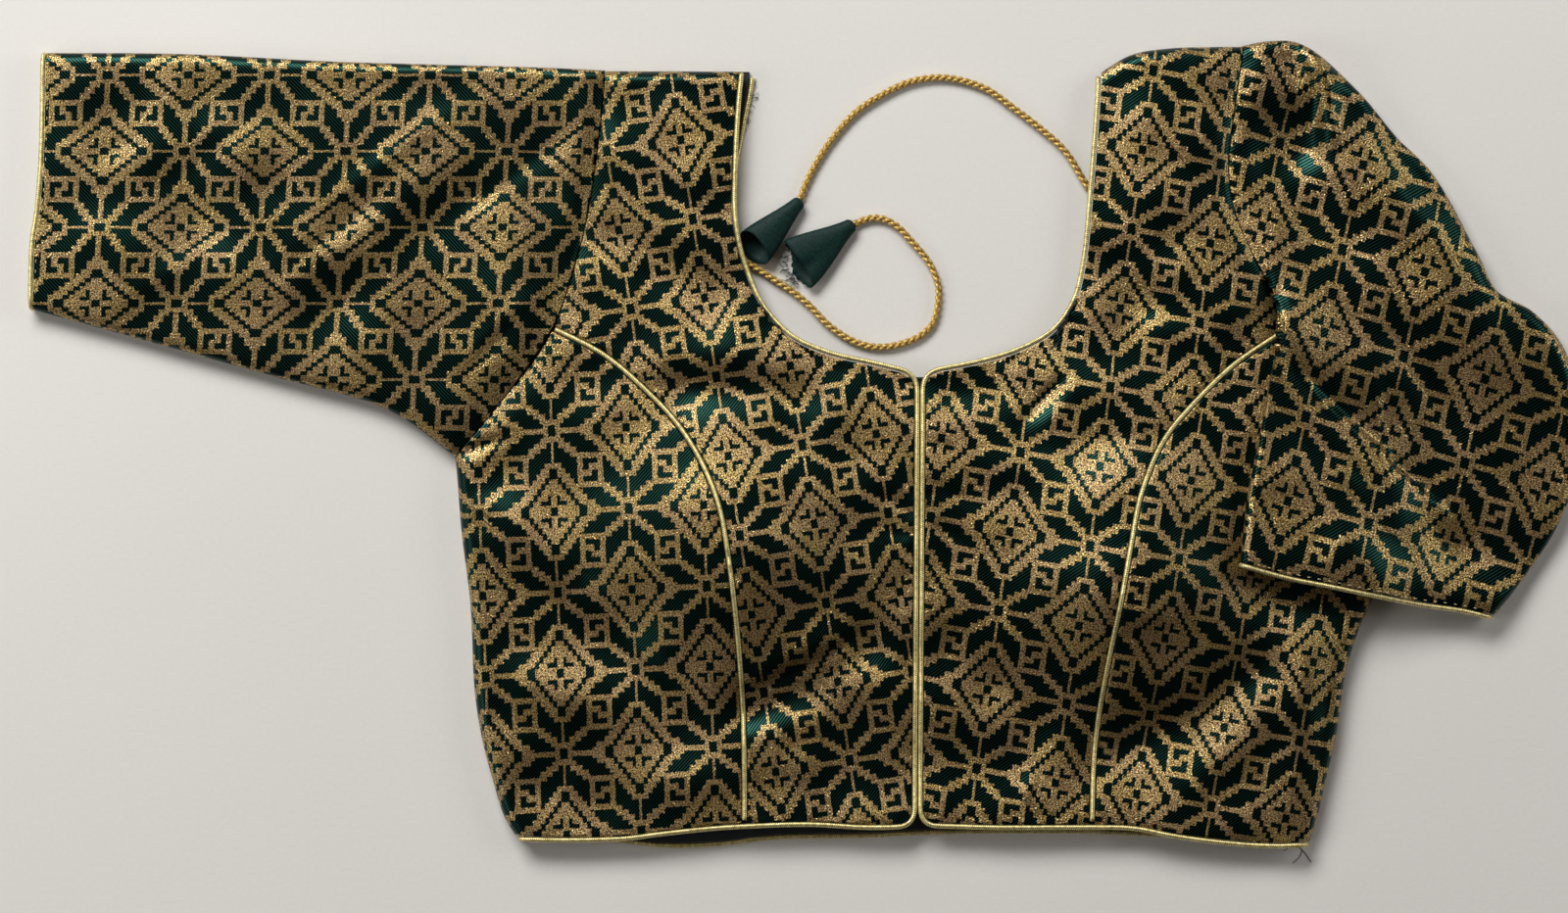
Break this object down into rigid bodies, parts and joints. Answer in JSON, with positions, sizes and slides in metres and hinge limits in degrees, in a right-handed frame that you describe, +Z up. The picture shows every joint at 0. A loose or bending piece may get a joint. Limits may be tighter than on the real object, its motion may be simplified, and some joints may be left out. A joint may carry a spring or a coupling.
{
  "type": "choli blouse",
  "caption": "Short lined brocade blouse laid flat, open at neck, hem and cuffs, with elbow sleeves, one folded down, piped edges and tie cords at the back neck.",
  "frame": {"origin": "middle of the garment's footprint, without its tie cords, on the surface that it lies on", "axes": "+X towards the wearer's left, along the outspread sleeve; +Y from the hem towards the shoulders; +Z up off the surface"},
  "size_m": [0.7734, 0.4036, 0.0285],
  "materials": {
    "brocade": "dark green silk brocade with gold zari motifs",
    "piping": "gold tissue over cord",
    "lining": "near-black green cotton lining",
    "dori": "twisted gold thread cord",
    "satin": "dark green satin"
  },
  "bodies": {
    "root": {"back": "brocade", "front_centre_right": "brocade", "front_centre_left": "brocade", "front_side_right": "brocade", "front_side_left": "brocade", "sleeve_right": "brocade", "sleeve_left": "brocade", "placket": "lining", "piping_edge_right": "piping", "piping_edge_left": "piping", "piping_princess_right": "piping", "piping_princess_left": "piping", "piping_cuff_right": "piping", "piping_cuff_left": "piping", "piping_back_hem": "piping", "piping_back_neck": "piping", "dori_right": "dori", "dori_left": "dori", "tassel_right": "satin", "tassel_left": "satin"}
  },
  "joints": []
}
